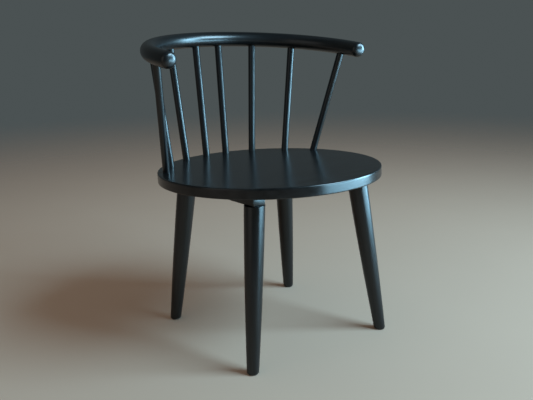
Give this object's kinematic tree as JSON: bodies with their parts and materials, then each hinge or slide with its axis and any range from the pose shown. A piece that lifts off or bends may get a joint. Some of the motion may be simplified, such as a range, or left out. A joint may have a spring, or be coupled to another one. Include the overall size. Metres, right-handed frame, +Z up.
{
  "type": "spindle back dining chair",
  "caption": "Low-backed wooden dining chair: a round flat seat on splayed tapered legs, with a horseshoe arm rail carried on plain round spindles.",
  "frame": {"origin": "on the floor, under the middle of the chair's plan box", "axes": "+Z up, -Y the way the sitter faces, +X to the sitter's left"},
  "size_m": [0.606, 0.5933, 0.7571],
  "materials": {
    "black_wood": "black stain under satin lacquer",
    "black_nylon": "moulded, matt",
    "plated_steel": "zinc plated",
    "brass": "turned, bright"
  },
  "bodies": {
    "root": {"seat": "black_wood", "back_rail": "black_wood", "cleat_left": "black_wood", "cleat_right": "black_wood", "spindle_left_1": "black_wood", "spindle_left_2": "black_wood", "spindle_left_3": "black_wood", "spindle_left_4": "black_wood", "spindle_right_1": "black_wood", "spindle_right_2": "black_wood", "spindle_right_3": "black_wood", "spindle_right_4": "black_wood", "leg_front_left": "black_wood", "leg_front_right": "black_wood", "leg_back_left": "black_wood", "leg_back_right": "black_wood", "glide_front_left": "black_nylon", "glide_front_right": "black_nylon", "glide_back_left": "black_nylon", "glide_back_right": "black_nylon", "leg_bolts": "plated_steel", "cleat_screws": "plated_steel", "insert_nuts": "brass"}
  },
  "joints": []
}
